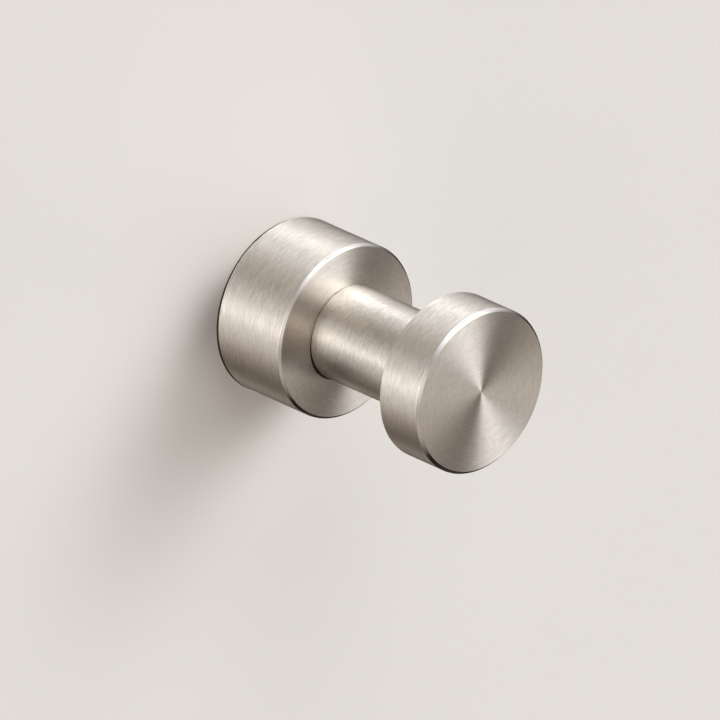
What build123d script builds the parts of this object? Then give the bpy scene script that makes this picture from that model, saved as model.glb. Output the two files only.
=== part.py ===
"""Turned steel robe hook on a concealed wall bracket.

The origin is the centre of the wall face, +Z is up and the hook projects from the wall along -Y.
Every turned piece is a half section, drawn as (radius, distance from the wall), spun about the Y axis.
All lengths are in millimetres.
"""

import os
from math import sqrt, tan, radians

from build123d import *

# Base: a turned cup that hides the bracket
base_diameter = 35.0
base_length = 17.5
base_side_wall = 3.0
base_front_wall = 5.5
base_front_chamfer = 0.5
base_back_chamfer = 0.5
cavity_mouth_chamfer = 0.4

# Post: the neck and the head, turned from one bar
neck_diameter = 19.0
neck_length = 26.5
neck_edge_break = 0.25
neck_root_radius = 0.5
neck_shoulder = 4.0
spigot_length = 1.4
spigot_edge_break = 0.2
head_diameter = 33.0
head_length = 10.7
head_front_chamfer = 0.6
head_back_chamfer = 0.3

# Post screw: a socket cap screw with a split lock washer, driven from inside the base
post_screw_diameter = 5.0
post_screw_length = 16.0
post_screw_head_diameter = 8.5
post_screw_head_length = 5.0
post_screw_head_chamfer = 0.5
post_screw_socket_across_flats = 4.0
post_screw_socket_depth = 2.5
post_screw_tip_chamfer = 0.5
tapped_hole_run_out = 2.0
drill_point_angle = 118.0
washer_diameter = 9.2
washer_thickness = 1.2
washer_split = 0.9
washer_split_slant = 20.0

# Wall bracket: a turned disc with a vee groove for the grub screw
bracket_edge_chamfer = 0.4
bracket_groove_depth = 1.2
wall_screw_hole_diameter = 4.0
wall_screw_head_diameter = 7.4
wall_screw_head_angle = 90.0

# Grub screw: a cone point set screw in the underside of the base
grub_diameter = 4.0
grub_recess = 0.3
grub_tip_diameter = 0.6
grub_socket_across_flats = 2.0
grub_socket_depth = 2.0
grub_end_chamfer = 0.3

# Clearances
spigot_clearance = 0.05
spigot_end_gap = 0.1
screw_hole_clearance = 0.25
thread_clearance = 0.05
washer_clearance = 0.1
bracket_clearance = 0.25
bracket_front_gap = 3.0
screw_head_clearance = 1.0
grub_seat_gap = 0.05
cut_margin = 1.0

# Radii
base_radius = base_diameter / 2
cavity_radius = base_radius - base_side_wall
neck_radius = neck_diameter / 2
spigot_radius = neck_radius - neck_shoulder
spigot_seat_radius = spigot_radius + spigot_clearance
head_radius = head_diameter / 2
post_screw_radius = post_screw_diameter / 2
post_screw_head_radius = post_screw_head_diameter / 2
screw_hole_radius = post_screw_radius + screw_hole_clearance
tapped_hole_radius = post_screw_radius + thread_clearance
washer_hole_radius = post_screw_radius + washer_clearance
washer_radius = washer_diameter / 2
bracket_radius = cavity_radius - bracket_clearance
bracket_hole_radius = post_screw_head_radius + screw_head_clearance
groove_radius = bracket_radius - bracket_groove_depth
wall_screw_offset = (bracket_hole_radius + bracket_radius) / 2
grub_radius = grub_diameter / 2
grub_hole_radius = grub_radius + thread_clearance
grub_tip_radius = grub_tip_diameter / 2

# Distances from the wall
cavity_depth = base_length - base_front_wall
screw_seat = cavity_depth - washer_thickness
screw_head_end = screw_seat - post_screw_head_length
screw_tip = screw_seat + post_screw_length
spigot_seat = base_length - spigot_length - spigot_end_gap
spigot_end = base_length - spigot_length
tapped_hole_floor = screw_tip + tapped_hole_run_out
drill_point_length = tapped_hole_radius / tan(radians(drill_point_angle / 2))
head_back = base_length + neck_length
head_front = head_back + head_length
bracket_thickness = cavity_depth - bracket_front_gap
groove_centre = bracket_thickness / 2

# Sideways run of the washer's slanted split
split_lean = washer_thickness * tan(radians(washer_split_slant))

# Distances from the axis along the grub screw, whose cone stands in the groove's right angle
grub_cone_apex = groove_radius + grub_seat_gap * sqrt(2)
grub_tip = grub_cone_apex + grub_tip_radius
grub_shoulder = grub_cone_apex + grub_radius
grub_end = base_radius - grub_recess

# Half sections lie on this plane, with the radius along X and the distance from the wall along -Y
section_plane = Plane(origin=(0, 0, 0), x_dir=(1, 0, 0), z_dir=(0, 0, -1))
# The grub screw's half section has its length along -Z
grub_section_plane = Plane(origin=(0, -groove_centre, 0), x_dir=(1, 0, 0), z_dir=(0, 1, 0))
grub_axis = Axis((0, -groove_centre, 0), (0, 0, -1))


def facing_out(distance):
    """The plane at this distance from the wall that looks away from it, with its Y up."""
    return Plane(origin=(0, -distance, 0), x_dir=(1, 0, 0), z_dir=(0, -1, 0))


def rim(part, radius, distance):
    """The circular edges of this radius at this distance from the wall."""
    tolerance = 1e-4

    def matches(edge):
        right_size = abs(edge.radius - radius) < tolerance
        return right_size and abs(edge.arc_center.Y + distance) < tolerance

    return part.edges().filter_by(GeomType.CIRCLE).filter_by(matches)


os.makedirs("parts", exist_ok=True)

# Base
with BuildPart() as base:
    with BuildSketch(section_plane):
        with BuildLine():
            Polyline(
                (screw_hole_radius, cavity_depth),
                (cavity_radius, cavity_depth),
                (cavity_radius, 0),
                (base_radius, 0),
                (base_radius, base_length),
                (spigot_seat_radius, base_length),
                (spigot_seat_radius, spigot_seat),
                (screw_hole_radius, spigot_seat),
                close=True,
            )
        make_face()
    revolve(axis=Axis.Y)
    chamfer(rim(base, base_radius, base_length), base_front_chamfer)
    chamfer(rim(base, base_radius, 0), base_back_chamfer)
    chamfer(rim(base, cavity_radius, 0), cavity_mouth_chamfer)
    with BuildSketch(Plane(origin=(0, -groove_centre, 0), x_dir=(1, 0, 0), z_dir=(0, 0, -1))):
        Circle(grub_hole_radius)
    extrude(amount=base_radius + cut_margin, mode=Mode.SUBTRACT)
base.part.label = "base"
export_step(base.part, "parts/base.step")

# Post
with BuildPart() as post:
    with BuildSketch(section_plane):
        with BuildLine():
            Polyline(
                (tapped_hole_radius, spigot_end),
                (spigot_radius, spigot_end),
                (spigot_radius, base_length),
                (neck_radius, base_length),
                (neck_radius, head_back),
                (head_radius, head_back),
                (head_radius, head_front),
                (0, head_front),
                (0, tapped_hole_floor + drill_point_length),
                (tapped_hole_radius, tapped_hole_floor),
                close=True,
            )
        make_face()
    revolve(axis=Axis.Y)
    chamfer(rim(post, spigot_radius, spigot_end), spigot_edge_break)
    chamfer(rim(post, neck_radius, base_length), neck_edge_break)
    fillet(rim(post, neck_radius, head_back), neck_root_radius)
    chamfer(rim(post, head_radius, head_back), head_back_chamfer)
    chamfer(rim(post, head_radius, head_front), head_front_chamfer)
post.part.label = "post"
export_step(post.part, "parts/post.step")

# Post screw
with BuildPart() as post_screw:
    with BuildSketch(section_plane):
        with BuildLine():
            Polyline(
                (0, screw_head_end),
                (post_screw_head_radius, screw_head_end),
                (post_screw_head_radius, screw_seat),
                (post_screw_radius, screw_seat),
                (post_screw_radius, screw_tip),
                (0, screw_tip),
                close=True,
            )
        make_face()
    revolve(axis=Axis.Y)
    chamfer(rim(post_screw, post_screw_head_radius, screw_head_end), post_screw_head_chamfer)
    chamfer(rim(post_screw, post_screw_radius, screw_tip), post_screw_tip_chamfer)
    with BuildSketch(facing_out(screw_head_end)):
        RegularPolygon(post_screw_socket_across_flats / 2, 6, major_radius=False)
    extrude(amount=post_screw_socket_depth, mode=Mode.SUBTRACT)
post_screw.part.label = "post_screw"
export_step(post_screw.part, "parts/post_screw.step")

# Lock washer, flattened under the screw head, with its slanted split at the top
with BuildPart() as lock_washer:
    with BuildSketch(facing_out(screw_seat)):
        Circle(washer_radius)
        Circle(washer_hole_radius, mode=Mode.SUBTRACT)
    extrude(amount=washer_thickness)
    with BuildSketch(Plane(origin=(0, -screw_seat, 0), x_dir=(1, 0, 0), z_dir=(0, 0, 1))):
        with BuildLine():
            Polyline(
                (0, 0),
                (washer_split, 0),
                (washer_split + split_lean, -washer_thickness),
                (split_lean, -washer_thickness),
                close=True,
            )
        make_face()
    extrude(amount=washer_radius + cut_margin, mode=Mode.SUBTRACT)
lock_washer.part.label = "lock_washer"
export_step(lock_washer.part, "parts/lock_washer.step")

# Wall bracket
with BuildPart() as wall_bracket:
    with BuildSketch(section_plane):
        with BuildLine():
            Polyline(
                (bracket_hole_radius, 0),
                (bracket_radius, 0),
                (bracket_radius, groove_centre - bracket_groove_depth),
                (groove_radius, groove_centre),
                (bracket_radius, groove_centre + bracket_groove_depth),
                (bracket_radius, bracket_thickness),
                (bracket_hole_radius, bracket_thickness),
                close=True,
            )
        make_face()
    revolve(axis=Axis.Y)
    chamfer(rim(wall_bracket, bracket_radius, 0), bracket_edge_chamfer)
    chamfer(rim(wall_bracket, bracket_radius, bracket_thickness), bracket_edge_chamfer)
    with Locations(facing_out(bracket_thickness)):
        with GridLocations(2 * wall_screw_offset, 0, 2, 1):
            CounterSinkHole(
                wall_screw_hole_diameter / 2,
                wall_screw_head_diameter / 2,
                counter_sink_angle=wall_screw_head_angle,
            )
wall_bracket.part.label = "wall_bracket"
export_step(wall_bracket.part, "parts/wall_bracket.step")

# Grub screw
with BuildPart() as grub_screw:
    with BuildSketch(grub_section_plane):
        with BuildLine():
            Polyline(
                (0, grub_tip),
                (grub_tip_radius, grub_tip),
                (grub_radius, grub_shoulder),
                (grub_radius, grub_end - grub_end_chamfer),
                (grub_radius - grub_end_chamfer, grub_end),
                (0, grub_end),
                close=True,
            )
        make_face()
    revolve(axis=grub_axis)
    with BuildSketch(Plane(origin=(0, -groove_centre, -grub_end), x_dir=(1, 0, 0), z_dir=(0, 0, 1))):
        RegularPolygon(grub_socket_across_flats / 2, 6, major_radius=False)
    extrude(amount=grub_socket_depth, mode=Mode.SUBTRACT)
grub_screw.part.label = "grub_screw"
export_step(grub_screw.part, "parts/grub_screw.step")
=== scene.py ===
import logging
import math
from dataclasses import dataclass, replace
from enum import Enum

import bmesh
import bpy
from mathutils import Matrix, Vector


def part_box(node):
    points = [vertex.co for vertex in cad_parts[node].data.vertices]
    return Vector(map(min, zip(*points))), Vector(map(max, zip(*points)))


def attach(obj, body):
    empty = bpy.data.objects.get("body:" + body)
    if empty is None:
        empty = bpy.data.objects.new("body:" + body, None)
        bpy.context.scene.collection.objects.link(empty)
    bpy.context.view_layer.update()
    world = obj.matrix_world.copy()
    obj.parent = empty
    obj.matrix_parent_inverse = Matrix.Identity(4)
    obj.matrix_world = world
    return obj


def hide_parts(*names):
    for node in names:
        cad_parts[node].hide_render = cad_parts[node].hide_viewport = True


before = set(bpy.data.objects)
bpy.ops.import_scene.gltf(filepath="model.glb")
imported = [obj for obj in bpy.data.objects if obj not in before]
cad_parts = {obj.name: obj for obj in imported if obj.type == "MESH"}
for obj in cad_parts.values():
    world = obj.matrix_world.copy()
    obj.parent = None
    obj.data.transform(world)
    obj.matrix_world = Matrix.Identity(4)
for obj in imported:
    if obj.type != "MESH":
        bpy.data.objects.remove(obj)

logger = logging.getLogger("robe_hook")

MM = 0.001
BODY = "root"
NECK_RADIUS = 9.5 * MM
GRUB_DISTANCE = 4.5 * MM
SAME_PLACE = 0.001 * MM
SHARP_ANGLE = 35.0
Point = tuple[float, float]
Colour = tuple[float, float, float]
Feed = bpy.types.NodeSocket | float | Vector | tuple[float, ...]
Outline = list[bmesh.types.BMVert | bmesh.types.BMEdge]


class TurnAxis(Enum):
    """The axis that a turned piece was spun about on the lathe."""

    HOOK = "Y"
    GRUB = "Z"


class Lay(Enum):
    """How a finish runs round a turned piece, as strokes to each radian."""

    BRUSHED = 11.0
    TOOLED = 0.8


# Node trees


class Wiring:
    """Adds and joins nodes in one node tree."""

    def __init__(self, tree: bpy.types.NodeTree) -> None:
        """Keeps the tree that nodes go into."""
        self.tree = tree

    def add(
        self, kind: str, inputs: dict[str | int, Feed] | None = None, **settings: object
    ) -> bpy.types.Node:
        """Makes a node.

        Args:
            kind: the node's type.
            inputs: sockets by name or index, each with a value or an output socket to join it to.
            **settings: the node's own properties.

        Returns:
            The new node.
        """
        node = self.tree.nodes.new(kind)
        for label, value in settings.items():
            setattr(node, label, value)
        for key, value in (inputs or {}).items():
            self.feed(node.inputs[key], value)
        return node

    def feed(self, socket: bpy.types.NodeSocket, value: Feed) -> None:
        """Joins an output to a socket, or sets the socket's value.

        Args:
            socket: the input that is fed.
            value: the output that it is joined to, or a plain value.
        """
        if isinstance(value, bpy.types.NodeSocket):
            self.tree.links.new(value, socket)
        else:
            socket.default_value = value

    def math(self, operation: str, *values: Feed) -> bpy.types.NodeSocket:
        """Returns the output of a Math node."""
        return self.add("ShaderNodeMath", dict(enumerate(values)), operation=operation).outputs[0]

    def vector(self, operation: str, *values: Feed) -> bpy.types.NodeSocket:
        """Returns the vector output of a Vector Math node."""
        node = self.add("ShaderNodeVectorMath", dict(enumerate(values)), operation=operation)
        return node.outputs["Vector"]

    def measure(self, operation: str, *values: Feed) -> bpy.types.NodeSocket:
        """Returns the value output of a Vector Math node."""
        node = self.add("ShaderNodeVectorMath", dict(enumerate(values)), operation=operation)
        return node.outputs["Value"]


@dataclass(frozen=True)
class Strokes:
    """One kind of stroke in the grain: times the plain width and length, and its share of the tone."""

    width: float
    length: float
    share: float


FINE_STROKES = Strokes(1.0, 1.0, 0.62)
DRAWN_STROKES = Strokes(1.7, 2.5, 0.30)
BROAD_STROKES = Strokes(10.0, 1.5, 0.08)


@dataclass(frozen=True)
class TurnedGrain:
    """The grain of a brushed or tooled turned surface: strokes that follow circles about Y.

    The pattern reads radius and height for its spacing, so it runs in rings on faces and in bands on sides.
    It reads the cosine and the sine of the angle for the length of its strokes, so it has no seam.
    """

    name: str = "TurnedGrain"
    least_radius: float = 0.01 * MM
    detail: float = 1.0
    mean: float = 0.5

    def build(self) -> bpy.types.NodeTree:
        """Builds the node group.

        Returns:
            A group with outputs Tone, about 0 with both signs, and Height, from 0 to 1.
        """
        group = bpy.data.node_groups.new(self.name, "ShaderNodeTree")
        group.interface.new_socket("Vector", in_out="INPUT", socket_type="NodeSocketVector")
        for label in ("Spacing", "Strokes"):
            group.interface.new_socket(label, in_out="INPUT", socket_type="NodeSocketFloat")
        for label in ("Tone", "Height"):
            group.interface.new_socket(label, in_out="OUTPUT", socket_type="NodeSocketFloat")
        wiring = Wiring(group)
        source = wiring.add("NodeGroupInput").outputs
        fine, drawn, broad = (
            self._noise(wiring, source, strokes) for strokes in (FINE_STROKES, DRAWN_STROKES, BROAD_STROKES)
        )
        mixed = wiring.math("MULTIPLY", fine, FINE_STROKES.share)
        mixed = wiring.math("MULTIPLY_ADD", drawn, DRAWN_STROKES.share, mixed)
        mixed = wiring.math("MULTIPLY_ADD", broad, BROAD_STROKES.share, mixed)
        sink = wiring.add("NodeGroupOutput").inputs
        wiring.feed(sink["Tone"], wiring.math("SUBTRACT", mixed, self.mean))
        wiring.feed(sink["Height"], fine)
        return group

    def _noise(self, wiring: Wiring, source: bpy.types.NodeOutputs, strokes: Strokes) -> bpy.types.NodeSocket:
        """Draws noise out along the lay.

        Args:
            wiring: the group's nodes.
            source: the group's own inputs.
            strokes: how wide and how long its strokes are.

        Returns:
            The noise, from 0 to 1.
        """
        x, y, z = wiring.add("ShaderNodeSeparateXYZ", {0: source["Vector"]}).outputs
        squares = wiring.math("ADD", wiring.math("MULTIPLY", x, x), wiring.math("MULTIPLY", z, z))
        radius = wiring.math("SQRT", squares)
        off_axis = wiring.math("MAXIMUM", radius, self.least_radius)
        per_radius = wiring.math("DIVIDE", source["Strokes"], off_axis)
        cosine = wiring.math("MULTIPLY", x, per_radius)
        sine = wiring.math("MULTIPLY", z, per_radius)
        step = wiring.math("MULTIPLY", source["Spacing"], strokes.width)
        place = {
            0: wiring.math("DIVIDE", radius, step),
            1: wiring.math("DIVIDE", y, step),
            2: wiring.math("DIVIDE", cosine, strokes.length),
        }
        where = wiring.add("ShaderNodeCombineXYZ", place).outputs[0]
        noise = wiring.add("ShaderNodeTexNoise", noise_dimensions="4D")
        wiring.feed(noise.inputs["Vector"], where)
        wiring.feed(noise.inputs["W"], wiring.math("DIVIDE", sine, strokes.length))
        wiring.feed(noise.inputs["Scale"], 1.0)
        wiring.feed(noise.inputs["Detail"], self.detail)
        return noise.outputs[0]


# Finishes


@dataclass(frozen=True)
class SteelFinish:
    """A bare steel finish, with a lay that runs round the lathe's axis."""

    name: str
    colour: Colour
    roughness: float
    anisotropy: float
    lay: Lay
    spacing: float
    tone: float
    roughness_swing: float
    bump: float
    bump_height: float = 0.02 * MM
    face_calm: float = 0.0
    highlight_turn: float = 0.25
    axis: TurnAxis = TurnAxis.HOOK

    def material(self) -> bpy.types.Material:
        """Builds the material.

        Returns:
            A metal whose highlights spread across the lay.
        """
        made = bpy.data.materials.new(self.name)
        made.use_nodes = True
        made.node_tree.nodes.clear()
        wiring = Wiring(made.node_tree)
        read = wiring.add("ShaderNodeTexCoord").outputs
        along, height, across = self._on_lathe(wiring, read["Object"])
        spun = wiring.add("ShaderNodeCombineXYZ", {0: along, 1: height, 2: across}).outputs[0]
        grain = wiring.add("ShaderNodeGroup", node_tree=bpy.data.node_groups[TurnedGrain.name])
        wiring.feed(grain.inputs["Vector"], spun)
        wiring.feed(grain.inputs["Spacing"], self.spacing)
        wiring.feed(grain.inputs["Strokes"], self.lay.value)
        tone = grain.outputs["Tone"]
        if self.face_calm:
            facing = wiring.add("ShaderNodeSeparateXYZ", {0: read["Normal"]}).outputs[1]
            kept = wiring.math("MULTIPLY_ADD", wiring.math("ABSOLUTE", facing), -self.face_calm, 1.0)
            tone = wiring.math("MULTIPLY", tone, kept)
        value = wiring.math("MULTIPLY_ADD", tone, self.tone, 1.0)
        colour = wiring.add("ShaderNodeHueSaturation", {"Color": (*self.colour, 1.0), "Value": value})
        shader = wiring.add("ShaderNodeBsdfPrincipled", {"Base Color": colour.outputs[0], "Metallic": 1.0})
        roughness = self.roughness
        if self.roughness_swing:
            roughness = wiring.math("MULTIPLY_ADD", tone, self.roughness_swing, self.roughness)
        wiring.feed(shader.inputs["Roughness"], roughness)
        if self.bump:
            relief = wiring.add("ShaderNodeBump", {"Strength": self.bump, "Distance": self.bump_height})
            wiring.feed(relief.inputs["Height"], grain.outputs["Height"])
            wiring.feed(shader.inputs["Normal"], relief.outputs[0])
        wiring.feed(shader.inputs["Tangent"], self._round_lathe(wiring, along, across))
        wiring.feed(shader.inputs["Anisotropic"], self.anisotropy)
        wiring.feed(shader.inputs["Anisotropic Rotation"], self.highlight_turn)
        wiring.add("ShaderNodeOutputMaterial", {"Surface": shader.outputs[0]})
        return made

    def _on_lathe(self, wiring: Wiring, place: bpy.types.NodeSocket) -> tuple[Feed, Feed, Feed]:
        """Measures a place from the lathe's axis.

        Args:
            wiring: the material's nodes.
            place: the place on the piece.

        Returns:
            The distance to the right of the axis, the height along it and the distance across from it.
        """
        x, y, z = wiring.add("ShaderNodeSeparateXYZ", {0: place}).outputs
        if self.axis is TurnAxis.HOOK:
            return x, y, z
        return x, z, wiring.math("ADD", y, GRUB_DISTANCE)

    def _round_lathe(self, wiring: Wiring, along: Feed, across: Feed) -> bpy.types.NodeSocket:
        """Finds the way that the lathe turns at a place.

        Args:
            wiring: the material's nodes.
            along: the distance to the right of the axis.
            across: the distance across from it.

        Returns:
            A direction along the lay.
        """
        across_axis = 2 if self.axis is TurnAxis.HOOK else 1
        turn = {0: across, across_axis: wiring.math("MULTIPLY", along, -1.0)}
        return wiring.vector("NORMALIZE", wiring.add("ShaderNodeCombineXYZ", turn).outputs[0])


@dataclass(frozen=True)
class SoftShade:
    """A soft round patch of painted shade where the wall is a little darker than the rest, or of painted
    light where it is a little lighter.
    """

    x: float
    z: float
    reach: float
    strength: float

    def added_to(self, value: Feed, wiring: Wiring, where: bpy.types.NodeSocket) -> bpy.types.NodeSocket:
        """Adds this patch to the wall.

        Args:
            value: the wall's brightness without it.
            wiring: the paint's nodes.
            where: the place on the wall.

        Returns:
            The brightness with it.
        """
        away = wiring.measure("DISTANCE", where, (self.x, 0.0, self.z))
        share = wiring.math("DIVIDE", away, self.reach)
        minus_square = wiring.math("MULTIPLY", share, wiring.math("MULTIPLY", share, -1.0))
        return wiring.math("MULTIPLY_ADD", wiring.math("EXPONENT", minus_square), self.strength, value)


@dataclass(frozen=True)
class WallPaint:
    """Matt pale paint on a smooth wall, which shows only from the room's side."""

    name: str = "wall_paint"
    colour: Colour = (0.765, 0.746, 0.713)
    roughness: float = 0.85
    specular: float = 0.2
    cloud_scale: float = 14.0
    cloud_detail: float = 3.0
    cloud_depth: float = 0.02
    shades: tuple[SoftShade, ...] = ()

    def material(self) -> bpy.types.Material:
        """Builds the material.

        Returns:
            The paint, clear when it is looked at from behind the wall.
        """
        made = bpy.data.materials.new(self.name)
        made.use_nodes = True
        made.node_tree.nodes.clear()
        wiring = Wiring(made.node_tree)
        where = wiring.add("ShaderNodeTexCoord").outputs["Object"]
        cloud = wiring.add("ShaderNodeTexNoise", {"Vector": where, "Scale": self.cloud_scale})
        wiring.feed(cloud.inputs["Detail"], self.cloud_detail)
        value = wiring.math("MULTIPLY_ADD", cloud.outputs[0], self.cloud_depth, 1.0 - self.cloud_depth / 2)
        # Painted shadows and painted light: soft patches that make the wall darker or lighter.
        for shade in self.shades:
            value = shade.added_to(value, wiring, where)
        colour = wiring.add("ShaderNodeHueSaturation", {"Color": (*self.colour, 1.0), "Value": value})
        paint = wiring.add("ShaderNodeBsdfPrincipled", {"Base Color": colour.outputs[0]})
        wiring.feed(paint.inputs["Roughness"], self.roughness)
        wiring.feed(paint.inputs["Specular IOR Level"], self.specular)
        clear = wiring.add("ShaderNodeBsdfTransparent")
        behind = wiring.add("ShaderNodeNewGeometry").outputs["Backfacing"]
        mix = wiring.add("ShaderNodeMixShader", {0: behind, 1: paint.outputs[0], 2: clear.outputs[0]})
        wiring.add("ShaderNodeOutputMaterial", {"Surface": mix.outputs[0]})
        return made


SATIN = SteelFinish(
    name="satin_brushed_steel",
    colour=(0.64, 0.595, 0.54),
    roughness=0.38,
    anisotropy=0.92,
    lay=Lay.BRUSHED,
    spacing=0.11 * MM,
    tone=1.36,
    roughness_swing=0.1,
    bump=0.06,
    face_calm=0.3,
)
CHAMFER = SteelFinish(
    name="cut_edge_steel",
    colour=(0.675, 0.655, 0.638),
    roughness=0.24,
    anisotropy=0.8,
    lay=Lay.BRUSHED,
    spacing=0.1 * MM,
    tone=0.3,
    roughness_swing=0.1,
    bump=0.05,
)
# Painted shade: a dark finish on the base's face round the neck's root, standing in for the shade that falls
# in the joint.
PAINTED_JOINT_SHADE = SteelFinish(
    name="painted_joint_shade",
    colour=(0.08, 0.06, 0.045),
    roughness=0.5,
    anisotropy=0.0,
    lay=Lay.TOOLED,
    spacing=0.1 * MM,
    tone=0.1,
    roughness_swing=0.0,
    bump=0.0,
)
TURNED = SteelFinish(
    name="turned_steel",
    colour=(0.56, 0.555, 0.55),
    roughness=0.36,
    anisotropy=0.8,
    lay=Lay.TOOLED,
    spacing=0.1 * MM,
    tone=0.35,
    roughness_swing=0.2,
    bump=0.25,
)
FASTENER = SteelFinish(
    name="fastener_plain_steel",
    colour=(0.50, 0.505, 0.51),
    roughness=0.34,
    anisotropy=0.35,
    lay=Lay.TOOLED,
    spacing=0.08 * MM,
    tone=0.2,
    roughness_swing=0.15,
    bump=0.1,
)
GRUB = replace(FASTENER, name="grub_plain_steel", axis=TurnAxis.GRUB)


# Mesh work


def spin_round(bm: bmesh.types.BMesh, section: Outline, steps: int) -> None:
    """Spins a section a full turn about the hook's axis.

    Args:
        bm: the mesh that the section is in.
        section: its points and its edges.
        steps: faces round the turn.
    """
    bmesh.ops.spin(
        bm,
        geom=section,
        cent=(0.0, 0.0, 0.0),
        axis=(0.0, 1.0, 0.0),
        dvec=(0.0, 0.0, 0.0),
        angle=2 * math.pi,
        steps=steps,
        use_merge=True,
        use_duplicate=False,
    )


def turned(section: list[Point], closed: bool, steps: int) -> bmesh.types.BMesh:
    """Turns a piece from its half section.

    Args:
        section: (radius, distance from the wall) in metres. An open one begins and ends on the axis.
        closed: True if the last point joins the first.
        steps: faces round the turn.

    Returns:
        The spun mesh, with its faces outward.
    """
    bm = bmesh.new()
    verts = [bm.verts.new((radius, -distance, 0.0)) for radius, distance in section]
    ends = verts[1:] + verts[:1] if closed else verts[1:]
    edges = [bm.edges.new(pair) for pair in zip(verts, ends)]
    spin_round(bm, verts + edges, steps)
    bmesh.ops.remove_doubles(bm, verts=bm.verts, dist=SAME_PLACE / 10)
    bmesh.ops.dissolve_degenerate(bm, edges=bm.edges, dist=SAME_PLACE / 100)
    bmesh.ops.recalc_face_normals(bm, faces=bm.faces)
    return bm


def rim_verts(bm: bmesh.types.BMesh, rim: Point) -> set[bmesh.types.BMVert]:
    """Finds the points of a turned edge.

    Args:
        bm: the spun mesh.
        rim: (radius, distance from the wall) of the edge, in metres.

    Returns:
        The points on it.
    """
    radius, distance = rim
    level = [vert for vert in bm.verts if abs(vert.co.y + distance) < SAME_PLACE]
    return {vert for vert in level if abs(math.hypot(vert.co.x, vert.co.z) - radius) < SAME_PLACE}


def round_rim(bm: bmesh.types.BMesh, rim: Point, width: float, segments: int) -> None:
    """Rounds a turned edge.

    Args:
        bm: the spun mesh.
        rim: (radius, distance from the wall) of the edge, in metres.
        width: how far the round reaches from the edge.
        segments: faces across the round.
    """
    on_rim = rim_verts(bm, rim)
    bmesh.ops.bevel(
        bm,
        geom=[edge for edge in bm.edges if on_rim.issuperset(edge.verts)],
        offset=width,
        offset_type="OFFSET",
        affect="EDGES",
        segments=segments,
        profile=0.5,
        material=-1,
    )


def bar(radius: float, length: float, sides: int, place: Matrix) -> bmesh.types.BMesh:
    """Makes a straight bar to cut a hole with.

    Args:
        radius: from its middle to its corners.
        length: from end to end.
        sides: six for a key socket, or many for a round hole.
        place: where it goes, from upright about the origin.

    Returns:
        The closed mesh.
    """
    bm = bmesh.new()
    bmesh.ops.create_cone(
        bm, cap_ends=True, segments=sides, radius1=radius, radius2=radius, depth=length, matrix=place
    )
    return bm


def hex_key(across_flats: float, length: float, place: Matrix) -> bmesh.types.BMesh:
    """Returns a six-sided bar, to cut a key socket with."""
    return bar(across_flats / 2 / math.cos(math.pi / 6), length, 6, place)


def new_object(bm: bmesh.types.BMesh, name: str) -> bpy.types.Object:
    """Moves a mesh into a new object at the origin.

    Args:
        bm: the mesh, which is freed.
        name: the object's name.

    Returns:
        The object, in the scene.
    """
    mesh = bpy.data.meshes.new(name)
    bm.to_mesh(mesh)
    bm.free()
    made = bpy.data.objects.new(name, mesh)
    bpy.context.scene.collection.objects.link(made)
    return made


def cut(piece: bpy.types.Object, shape: bmesh.types.BMesh) -> None:
    """Cuts a shape out of a piece for good.

    Args:
        piece: the piece that is cut.
        shape: the closed mesh that is taken away, which is freed.
    """
    cutter = new_object(shape, "cutter")
    modifier = piece.modifiers.new("cut", "BOOLEAN")
    modifier.operation = "DIFFERENCE"
    modifier.solver = "EXACT"
    modifier.object = cutter
    result = bpy.data.meshes.new_from_object(piece.evaluated_get(bpy.context.evaluated_depsgraph_get()))
    piece.modifiers.remove(modifier)
    spent = [piece.data, cutter.data]
    piece.data = result
    bpy.data.objects.remove(cutter)
    for mesh in spent:
        bpy.data.meshes.remove(mesh)
    result.name = piece.name


def mark_faces(bm: bmesh.types.BMesh, radii: Point, beyond: float, finish: int) -> None:
    """Gives a ring of faces another finish of their piece.

    Args:
        bm: the spun mesh.
        radii: the least and the greatest radius of the ring, in metres.
        beyond: the distance from the wall past which it lies.
        finish: which of the piece's finishes it gets.
    """
    slack = 0.03 * MM
    least, greatest = radii[0] - slack, radii[1] + slack
    for face in bm.faces:
        centre = face.calc_center_median()
        if least < math.hypot(centre.x, centre.z) < greatest and -centre.y > beyond - slack:
            face.material_index = finish


def dress_piece(piece: bpy.types.Object, node: str, slot: str, *finishes: bpy.types.Material) -> None:
    """Smooths a piece, gives it its finishes and lets it stand for a node of the part.

    Args:
        piece: the finished shape.
        node: the node that it stands for.
        slot: not used.
        *finishes: the materials, the main one first.
    """
    for finish in finishes:
        piece.data.materials.append(finish)
    piece.data.shade_smooth()
    piece.data.set_sharp_from_angle(angle=math.radians(SHARP_ANGLE))
    weighted = piece.modifiers.new("flat_faces_first", "WEIGHTED_NORMAL")
    weighted.mode = "FACE_AREA"
    weighted.keep_sharp = True
    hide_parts(node)
    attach(piece, BODY)
    logger.info("%s stands for %s: %d faces", piece.name, node, len(piece.data.polygons))


# Pieces


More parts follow.
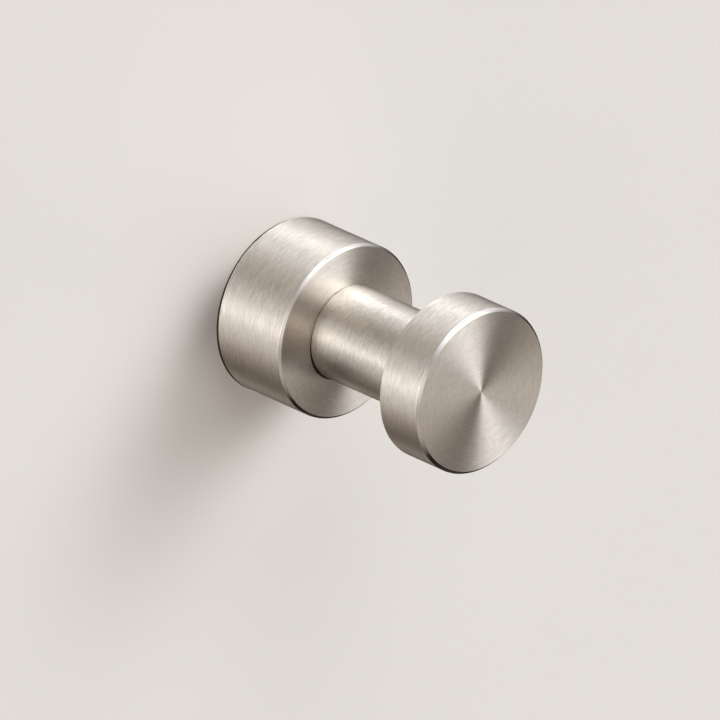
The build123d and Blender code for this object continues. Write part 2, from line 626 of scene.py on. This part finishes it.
@dataclass
class HookBase:
    """The turned cup against the wall."""

    side_wall: float = 3.0 * MM
    front_wall: float = 5.5 * MM
    front_chamfer: float = 0.5 * MM
    back_chamfer: float = 0.5 * MM
    mouth_chamfer: float = 0.4 * MM
    # Painted shade at the neck's root: where its edge lies inside the neck, how far it reaches out to the
    # lower left, towards which turn and how fast it falls away.
    joint_inset: float = 0.2 * MM
    joint_shade: float = 0.6 * MM
    shade_turn: float = 218.0
    shade_fall: int = 4
    seat_radius: float = 5.55 * MM
    seat_depth: float = 1.5 * MM
    screw_hole_radius: float = 2.75 * MM
    grub_hole_radius: float = 2.05 * MM
    edge_round: float = 0.05 * MM
    round_steps: int = 4
    hole_steps: int = 64
    steps: int = 288

    def build(self) -> bpy.types.Object:
        """Makes the cup.

        Returns:
            The cup, with its turned edges rounded and the grub screw's hole cut.
        """
        low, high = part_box("base")
        radius, front = high.z, -low.y
        inner, floor, seat = radius - self.side_wall, front - self.front_wall, front - self.seat_depth
        outer_front = (radius, front - self.front_chamfer)
        inner_front = (radius - self.front_chamfer, front)
        back_edge = (radius, self.back_chamfer)
        joint = (NECK_RADIUS - self.joint_inset, front)
        section = [
            (self.screw_hole_radius, floor),
            (inner, floor),
            (inner, self.mouth_chamfer),
            (inner + self.mouth_chamfer, 0.0),
            (radius - self.back_chamfer, 0.0),
            back_edge,
            outer_front,
            inner_front,
            joint,
            (self.seat_radius, front),
            (self.seat_radius, seat),
            (self.screw_hole_radius, seat),
        ]
        bm = turned(section, closed=True, steps=self.steps)
        for rim in (outer_front, inner_front, back_edge):
            round_rim(bm, rim, self.edge_round, self.round_steps)
        mark_faces(bm, (inner_front[0], radius), outer_front[1], finish=1)
        # Painted shade: the base's face under and just round the neck gets the dark finish, where shade falls
        # in the joint.
        mark_faces(bm, (self.seat_radius, joint[0]), front, finish=2)
        self._draw_out_painted_shade(bm, joint)
        piece = new_object(bm, "hook_base")
        place = Matrix.Translation((0.0, -GRUB_DISTANCE, -radius))
        cut(piece, bar(self.grub_hole_radius, 3 * self.side_wall, self.hole_steps, place))
        return piece

    def _draw_out_painted_shade(self, bm: bmesh.types.BMesh, joint: Point) -> None:
        """Draws the painted shade of the joint under the neck out to the lower left, where a contact shadow
        falls.

        Args:
            bm: the spun mesh.
            joint: (radius, distance from the wall) of the painted shade's edge at the joint, in metres.
        """
        # Painted shade: the dark ring's edge is pushed out towards the lower left, away from the light.
        for vert in rim_verts(bm, joint):
            turn = math.atan2(vert.co.z, vert.co.x) - math.radians(self.shade_turn)
            reach = joint[0] + self.joint_shade * max(0.0, math.cos(turn)) ** self.shade_fall
            vert.co.x, vert.co.z = vert.co.x * reach / joint[0], vert.co.z * reach / joint[0]

    def dress(self, *finishes: bpy.types.Material) -> None:
        """Builds the cup and gives it its finishes: the main one, the chamfer's and the painted shade at the
        neck's joint.
        """
        dress_piece(self.build(), "base", "satin_steel", *finishes)


@dataclass
class HookPost:
    """The neck and the head, turned as one."""

    neck_length: float = 26.5 * MM
    neck_edge_break: float = 0.25 * MM
    neck_root: float = 0.5 * MM
    spigot_radius: float = 5.5 * MM
    spigot_length: float = 1.4 * MM
    head_front_chamfer: float = 0.6 * MM
    head_back_chamfer: float = 0.3 * MM
    hole_radius: float = 2.55 * MM
    hole_floor: float = 28.8 * MM
    drill_point: float = 1.53 * MM
    edge_round: float = 0.05 * MM
    root_steps: int = 6
    front_steps: int = 4
    back_steps: int = 3
    steps: int = 288

    def build(self) -> bpy.types.Object:
        """Makes the post.

        Returns:
            The post, with its turned edges rounded.
        """
        low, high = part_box("post")
        head_radius, front, spigot_end = high.z, -low.y, -high.y
        shoulder = spigot_end + self.spigot_length
        head_back = shoulder + self.neck_length
        root = (NECK_RADIUS, head_back)
        neck_edge = (NECK_RADIUS, shoulder + self.neck_edge_break)
        back_outer = (head_radius, head_back + self.head_back_chamfer)
        back_inner = (head_radius - self.head_back_chamfer, head_back)
        front_outer = (head_radius, front - self.head_front_chamfer)
        front_inner = (head_radius - self.head_front_chamfer, front)
        section = [
            (0.0, self.hole_floor + self.drill_point),
            (self.hole_radius, self.hole_floor),
            (self.hole_radius, spigot_end),
            (self.spigot_radius, spigot_end),
            (self.spigot_radius, shoulder),
            (NECK_RADIUS - self.neck_edge_break, shoulder),
            neck_edge,
            root,
            back_inner,
            back_outer,
            front_outer,
            front_inner,
            (0.0, front),
        ]
        bm = turned(section, closed=False, steps=self.steps)
        round_rim(bm, root, self.neck_root, self.root_steps)
        for rim in (front_outer, front_inner):
            round_rim(bm, rim, self.edge_round, self.front_steps)
        for rim in (neck_edge, back_outer, back_inner):
            round_rim(bm, rim, self.edge_round, self.back_steps)
        mark_faces(bm, (front_inner[0], head_radius), front_outer[1], finish=1)
        return new_object(bm, "hook_post")

    def dress(self, *finishes: bpy.types.Material) -> None:
        """Builds the post and gives it its finishes: the main one and the chamfer's."""
        dress_piece(self.build(), "post", "satin_steel", *finishes)


@dataclass
class WallBracket:
    """The disc that is screwed to the wall inside the cup."""

    hole_radius: float = 5.25 * MM
    edge_chamfer: float = 0.4 * MM
    groove_depth: float = 1.2 * MM
    screw_offset: float = 9.75 * MM
    screw_hole_radius: float = 2.0 * MM
    screw_head_radius: float = 3.7 * MM
    edge_round: float = 0.06 * MM
    round_steps: int = 3
    hole_steps: int = 64
    steps: int = 192

    def build(self) -> bpy.types.Object:
        """Makes the disc.

        Returns:
            The disc, with its vee groove and its two countersunk holes.
        """
        low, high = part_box("wall_bracket")
        radius, front = high.z, -low.y
        middle = front / 2
        back_edge, back_face = (radius, self.edge_chamfer), (radius - self.edge_chamfer, 0.0)
        hole_back = (self.hole_radius, 0.0)
        section = [
            hole_back,
            back_face,
            back_edge,
            (radius, middle - self.groove_depth),
            (radius - self.groove_depth, middle),
            (radius, middle + self.groove_depth),
            (radius, front - self.edge_chamfer),
            (radius - self.edge_chamfer, front),
            (self.hole_radius, front),
        ]
        bm = turned(section, closed=True, steps=self.steps)
        for rim in (back_edge, back_face, hole_back):
            round_rim(bm, rim, self.edge_round, self.round_steps)
        piece = new_object(bm, "bracket_disc")
        for side in (-1.0, 1.0):
            cut(piece, self._screw_hole(front, side * self.screw_offset))
        return piece

    def _screw_hole(self, front: float, offset: float) -> bmesh.types.BMesh:
        """Makes the shape of a countersunk hole.

        Args:
            front: the distance of the disc's front from the wall.
            offset: how far to the side of the axis the hole is.

        Returns:
            The closed mesh, longer than the disc is thick.
        """
        sunk = front - (self.screw_head_radius - self.screw_hole_radius)
        section = [
            (0.0, -front),
            (self.screw_hole_radius, -front),
            (self.screw_hole_radius, sunk),
            (self.screw_head_radius, front),
            (self.screw_head_radius, 2 * front),
            (0.0, 2 * front),
        ]
        bm = turned(section, closed=False, steps=self.hole_steps)
        bmesh.ops.translate(bm, verts=bm.verts, vec=(offset, 0.0, 0.0))
        return bm

    def dress(self, finish: bpy.types.Material) -> None:
        """Builds the disc and gives it its finish."""
        dress_piece(self.build(), "wall_bracket", "bracket_steel", finish)


@dataclass
class PostScrew:
    """The socket cap screw that holds the post to the base."""

    shank_radius: float = 2.5 * MM
    head_length: float = 5.0 * MM
    head_chamfer: float = 0.5 * MM
    tip_chamfer: float = 0.5 * MM
    socket_across_flats: float = 4.0 * MM
    socket_depth: float = 2.5 * MM
    edge_round: float = 0.08 * MM
    round_steps: int = 3
    steps: int = 96

    def build(self) -> bpy.types.Object:
        """Makes the screw.

        Returns:
            The screw, with its key socket cut.
        """
        low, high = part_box("post_screw")
        head_radius, head_end, tip = high.z, -high.y, -low.y
        seat = head_end + self.head_length
        top = (head_radius - self.head_chamfer, head_end)
        shoulder = (head_radius, head_end + self.head_chamfer)
        section = [
            (0.0, head_end),
            top,
            shoulder,
            (head_radius, seat),
            (self.shank_radius, seat),
            (self.shank_radius, tip - self.tip_chamfer),
            (self.shank_radius - self.tip_chamfer, tip),
            (0.0, tip),
        ]
        bm = turned(section, closed=False, steps=self.steps)
        for rim in (top, shoulder):
            round_rim(bm, rim, self.edge_round, self.round_steps)
        piece = new_object(bm, "cap_screw")
        place = Matrix.Translation((0.0, -head_end, 0.0)) @ Matrix.Rotation(math.pi / 2, 4, "X")
        cut(piece, hex_key(self.socket_across_flats, 2 * self.socket_depth, place))
        return piece

    def dress(self, finish: bpy.types.Material) -> None:
        """Builds the screw and gives it its finish."""
        dress_piece(self.build(), "post_screw", "fastener_steel", finish)


@dataclass
class GrubScrew:
    """The cone point set screw in the underside of the cup."""

    tip_radius: float = 0.3 * MM
    end_chamfer: float = 0.3 * MM
    socket_across_flats: float = 2.0 * MM
    socket_depth: float = 2.0 * MM
    steps: int = 64

    def build(self) -> bpy.types.Object:
        """Makes the set screw.

        Returns:
            The set screw, turned to point up, with its key socket cut.
        """
        low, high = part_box("grub_screw")
        radius, tip, end = high.x, -high.z, -low.z
        section = [
            (0.0, tip),
            (self.tip_radius, tip),
            (radius, tip + radius - self.tip_radius),
            (radius, end - self.end_chamfer),
            (radius - self.end_chamfer, end),
            (0.0, end),
        ]
        bm = turned(section, closed=False, steps=self.steps)
        upright = Matrix.Translation((0.0, -GRUB_DISTANCE, 0.0)) @ Matrix.Rotation(math.pi / 2, 4, "X")
        bmesh.ops.transform(bm, matrix=upright, verts=bm.verts)
        piece = new_object(bm, "set_screw")
        place = Matrix.Translation((0.0, -GRUB_DISTANCE, -end))
        cut(piece, hex_key(self.socket_across_flats, 2 * self.socket_depth, place))
        return piece

    def dress(self, finish: bpy.types.Material) -> None:
        """Builds the set screw and gives it its finish."""
        dress_piece(self.build(), "grub_screw", "fastener_steel", finish)


@dataclass
class LockWasher:
    """The split washer under the post screw's head, which keeps its own shape."""

    node: str = "lock_washer"

    def dress(self, finish: bpy.types.Material) -> None:
        """Gives the washer its finish.

        Args:
            finish: the fasteners' material.
        """
        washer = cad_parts[self.node].data
        washer.materials.clear()
        washer.materials.append(finish)
        logger.info("%s keeps its own shape", self.node)


# Stage


# Painted shadows beside and round the base, and painted light to the right of it and under it.
PAINTED_WALL_SHADES = {
    "round_the_base": SoftShade(0.0, 4.0 * MM, 17.0 * MM, -0.3),
    "beside_the_base": SoftShade(-17.0 * MM, 3.0 * MM, 9.0 * MM, -0.35),
    "right_of_the_base": SoftShade(20.0 * MM, -8.0 * MM, 22.0 * MM, 0.1),
    "under_the_base": SoftShade(-4.0 * MM, -27.0 * MM, 18.0 * MM, 0.13),
}


@dataclass
class Wall:
    """A plain wall in the plane of the hook's back, with a hole behind the base."""

    hole_radius: float = 17.02 * MM
    rim_radius: float = 17.35 * MM
    # The painted shadow's outer edge is moved towards the lower left, away from the light.
    rim_shift: Point = (-0.22 * MM, -0.12 * MM)
    reach: float = 3.0
    paint: WallPaint = WallPaint(shades=tuple(PAINTED_WALL_SHADES.values()))
    # Painted shadow: a dark ring of wall under the base's back edge, standing in for the contact shadow
    # there.
    shadow_line_paint: WallPaint = WallPaint("joint_shade", (0.055, 0.038, 0.026), specular=0.0)
    steps: int = 192

    def build(self) -> None:
        """Makes the ring of painted shadow that the base stands on and the wall round it, open to light from
        behind.
        """
        # Painted shadow: the dark ring at the base's back edge.
        joint = self._ring("painted_shadow_at_base", (self.hole_radius, self.rim_radius), self.shadow_line_paint)
        wall = self._ring("wall", (self.rim_radius, self.reach), self.paint)

    def _ring(self, name: str, radii: Point, paint: WallPaint) -> bpy.types.Object:
        """Makes a flat ring of wall that faces the room.

        Args:
            name: the object's name.
            radii: the ring's inner and outer radius, in metres.
            paint: its paint.

        Returns:
            The ring, out of reflections and without a shadow of its own. The edge between the painted shadow
            and the wall lies a little away from the light, where a contact shadow falls.
        """
        bm = bmesh.new()
        section = [bm.verts.new((radius, 0.0, 0.0)) for radius in radii]
        spin_round(bm, [*section, bm.edges.new(section)], self.steps)
        bm.normal_update()
        bmesh.ops.reverse_faces(bm, faces=[face for face in bm.faces if face.normal.y > 0])
        # Moves the edge of the painted shadow a little away from the light.
        for vert in rim_verts(bm, (self.rim_radius, 0.0)):
            vert.co.x += self.rim_shift[0]
            vert.co.z += self.rim_shift[1]
        ring = new_object(bm, name)
        ring.data.materials.append(paint.material())
        ring.visible_glossy = False
        ring.visible_shadow = False
        return ring


def towards(azimuth: float, elevation: float) -> Vector:
    """Finds a direction from the hook.

    Args:
        azimuth: degrees round from the front, to the right.
        elevation: degrees above the horizon.

    Returns:
        A direction of length one.
    """
    turn, rise = math.radians(azimuth), math.radians(elevation)
    return Vector((math.sin(turn) * math.cos(rise), -math.cos(turn) * math.cos(rise), math.sin(rise)))


class Warmth(Enum):
    """The tint of a light."""

    COOL = (0.97, 1.0, 1.04)
    PLAIN = (1.0, 1.0, 1.0)
    WARM = (1.1, 1.0, 0.9)


@dataclass(frozen=True)
class SoftLight:
    """A soft round light in the room, far from the hook, with its angles in degrees."""

    azimuth: float
    elevation: float
    width: float
    power: float
    warmth: Warmth = Warmth.PLAIN

    def added_to(self, total: Feed, wiring: Wiring, where: bpy.types.NodeSocket) -> bpy.types.NodeSocket:
        """Adds this light to the room.

        Args:
            total: the room's light without it.
            wiring: the room's nodes.
            where: the direction from the hook.

        Returns:
            The room's light with it.
        """
        facing = wiring.measure("DOT_PRODUCT", where, towards(self.azimuth, self.elevation))
        tightness = 1.0 / (1.0 - math.cos(math.radians(self.width)))
        away = wiring.math("MULTIPLY", wiring.math("SUBTRACT", facing, 1.0), tightness)
        shine = wiring.math("MULTIPLY", wiring.math("EXPONENT", away), self.power)
        return wiring.vector("MULTIPLY_ADD", shine, self.warmth.value, total)


ROOM_LIGHTS = {
    "window_high_pane": SoftLight(-100.0, 28.0, 14.0, 2.8),
    "window_middle_pane": SoftLight(-100.0, 5.0, 14.0, 6.0),
    "window_low_pane": SoftLight(-100.0, -18.0, 14.0, 2.0),
    "left_fill": SoftLight(-45.0, 5.0, 22.0, 1.2, Warmth.WARM),
    "left_fill_low": SoftLight(-45.0, -40.0, 22.0, 0.6, Warmth.WARM),
    "front_lamp_right": SoftLight(38.0, 28.0, 13.0, 6.4),
    "front_lamp_middle": SoftLight(23.0, 13.0, 13.0, 6.0, Warmth.COOL),
    "low_lamp_right": SoftLight(60.0, -25.0, 13.0, 1.2, Warmth.WARM),
    "low_lamp_middle": SoftLight(20.0, -18.0, 13.0, 1.6),
    "ceiling_light": SoftLight(-20.0, 83.0, 14.0, 4.6),
    "high_light_right": SoftLight(115.0, 64.0, 14.0, 4.6, Warmth.COOL),
    "high_light_left": SoftLight(-120.0, 53.0, 19.0, 1.0, Warmth.WARM),
    "right_fill": SoftLight(97.0, 42.0, 24.0, 2.0),
    "high_fill": SoftLight(-5.0, 47.0, 22.0, 1.7),
    "light_behind": SoftLight(168.0, 10.0, 13.0, 9.0, Warmth.COOL),
    "low_light_behind": SoftLight(-167.0, -22.0, 16.0, 2.4, Warmth.WARM),
    "floor_bounce": SoftLight(140.0, -68.0, 20.0, 1.2, Warmth.WARM),
}


@dataclass(frozen=True)
class FloorShade:
    """The dark floor low on the right, with a clear edge and its angles in degrees."""

    azimuth: float = 76.0
    elevation: float = -66.0
    half_angle: float = 36.0
    softness: float = 1.5
    remaining: float = 0.06

    def share(self, wiring: Wiring, where: bpy.types.NodeSocket) -> bpy.types.NodeSocket:
        """Finds how much of the room's light is left in a direction.

        Args:
            wiring: the room's nodes.
            where: the direction from the hook.

        Returns:
            The share of the light.
        """
        facing = wiring.measure("DOT_PRODUCT", where, towards(self.azimuth, self.elevation))
        span = wiring.add("ShaderNodeMapRange", {"Value": wiring.math("ARCCOSINE", facing)})
        span.interpolation_type = "SMOOTHSTEP"
        wiring.feed(span.inputs["From Min"], math.radians(self.half_angle - self.softness))
        wiring.feed(span.inputs["From Max"], math.radians(self.half_angle + self.softness))
        wiring.feed(span.inputs["To Min"], self.remaining)
        wiring.feed(span.inputs["To Max"], 1.0)
        return span.outputs["Result"]


@dataclass
class Studio:
    """Soft studio light round the hook, and what the camera sees past the wall."""

    ambient: Colour = (0.02, 0.005, 0.0)
    backdrop: Colour = (0.776, 0.738, 0.687)

    def build(self) -> None:
        """Makes the room's light."""
        world = bpy.data.worlds.new("room")
        world.use_nodes = True
        world.node_tree.nodes.clear()
        wiring = Wiring(world.node_tree)
        where = wiring.add("ShaderNodeTexCoord").outputs["Generated"]
        total = self.ambient
        for light in ROOM_LIGHTS.values():
            total = light.added_to(total, wiring, where)
        total = wiring.vector("MULTIPLY", total, FloorShade().share(wiring, where))
        room = wiring.add("ShaderNodeBackground", {"Color": total, "Strength": 1.0})
        shown = wiring.add("ShaderNodeBackground", {"Color": (*self.backdrop, 1.0), "Strength": 1.0})
        seen = wiring.add("ShaderNodeLightPath").outputs["Is Camera Ray"]
        mix = wiring.add("ShaderNodeMixShader", {0: seen, 1: room.outputs[0], 2: shown.outputs[0]})
        wiring.add("ShaderNodeOutputWorld", {"Surface": mix.outputs[0]})
        bpy.context.scene.world = world
        bpy.context.scene.view_settings.view_transform = "Standard"


@dataclass
class PhotoCamera:
    """A long lens, from the left of the hook and above it."""

    azimuth: float = -43.092
    elevation: float = 24.781
    distance: float = 3812.65 * MM
    lens: float = 1000.0
    sensor_width: float = 36.0
    farthest: float = 20.0
    aim: tuple[float, float, float] = (7.481 * MM, -13.148 * MM, -9.728 * MM)

    def build(self) -> None:
        """Makes the camera and gives it to the scene."""
        data = bpy.data.cameras.new("photo_camera")
        data.lens = self.lens
        data.sensor_width = self.sensor_width
        data.clip_end = self.farthest
        camera = bpy.data.objects.new("photo_camera", data)
        bpy.context.scene.collection.objects.link(camera)
        back = towards(self.azimuth, self.elevation)
        camera.location = Vector(self.aim) + back * self.distance
        camera.rotation_mode = "QUATERNION"
        camera.rotation_quaternion = (-back).to_track_quat("-Z", "Y")
        bpy.context.scene.camera = camera


def main() -> None:
    """Dresses every piece, lights the wall and places the camera."""
    logging.basicConfig(level=logging.INFO, format="%(message)s")
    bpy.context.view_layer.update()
    TurnedGrain().build()
    satin, chamfer, fastener = SATIN.material(), CHAMFER.material(), FASTENER.material()
    HookBase().dress(satin, chamfer, PAINTED_JOINT_SHADE.material())
    HookPost().dress(satin, chamfer)
    WallBracket().dress(TURNED.material())
    PostScrew().dress(fastener)
    GrubScrew().dress(GRUB.material())
    LockWasher().dress(fastener)
    Wall().build()
    Studio().build()
    PhotoCamera().build()


if __name__ == "__main__":
    main()
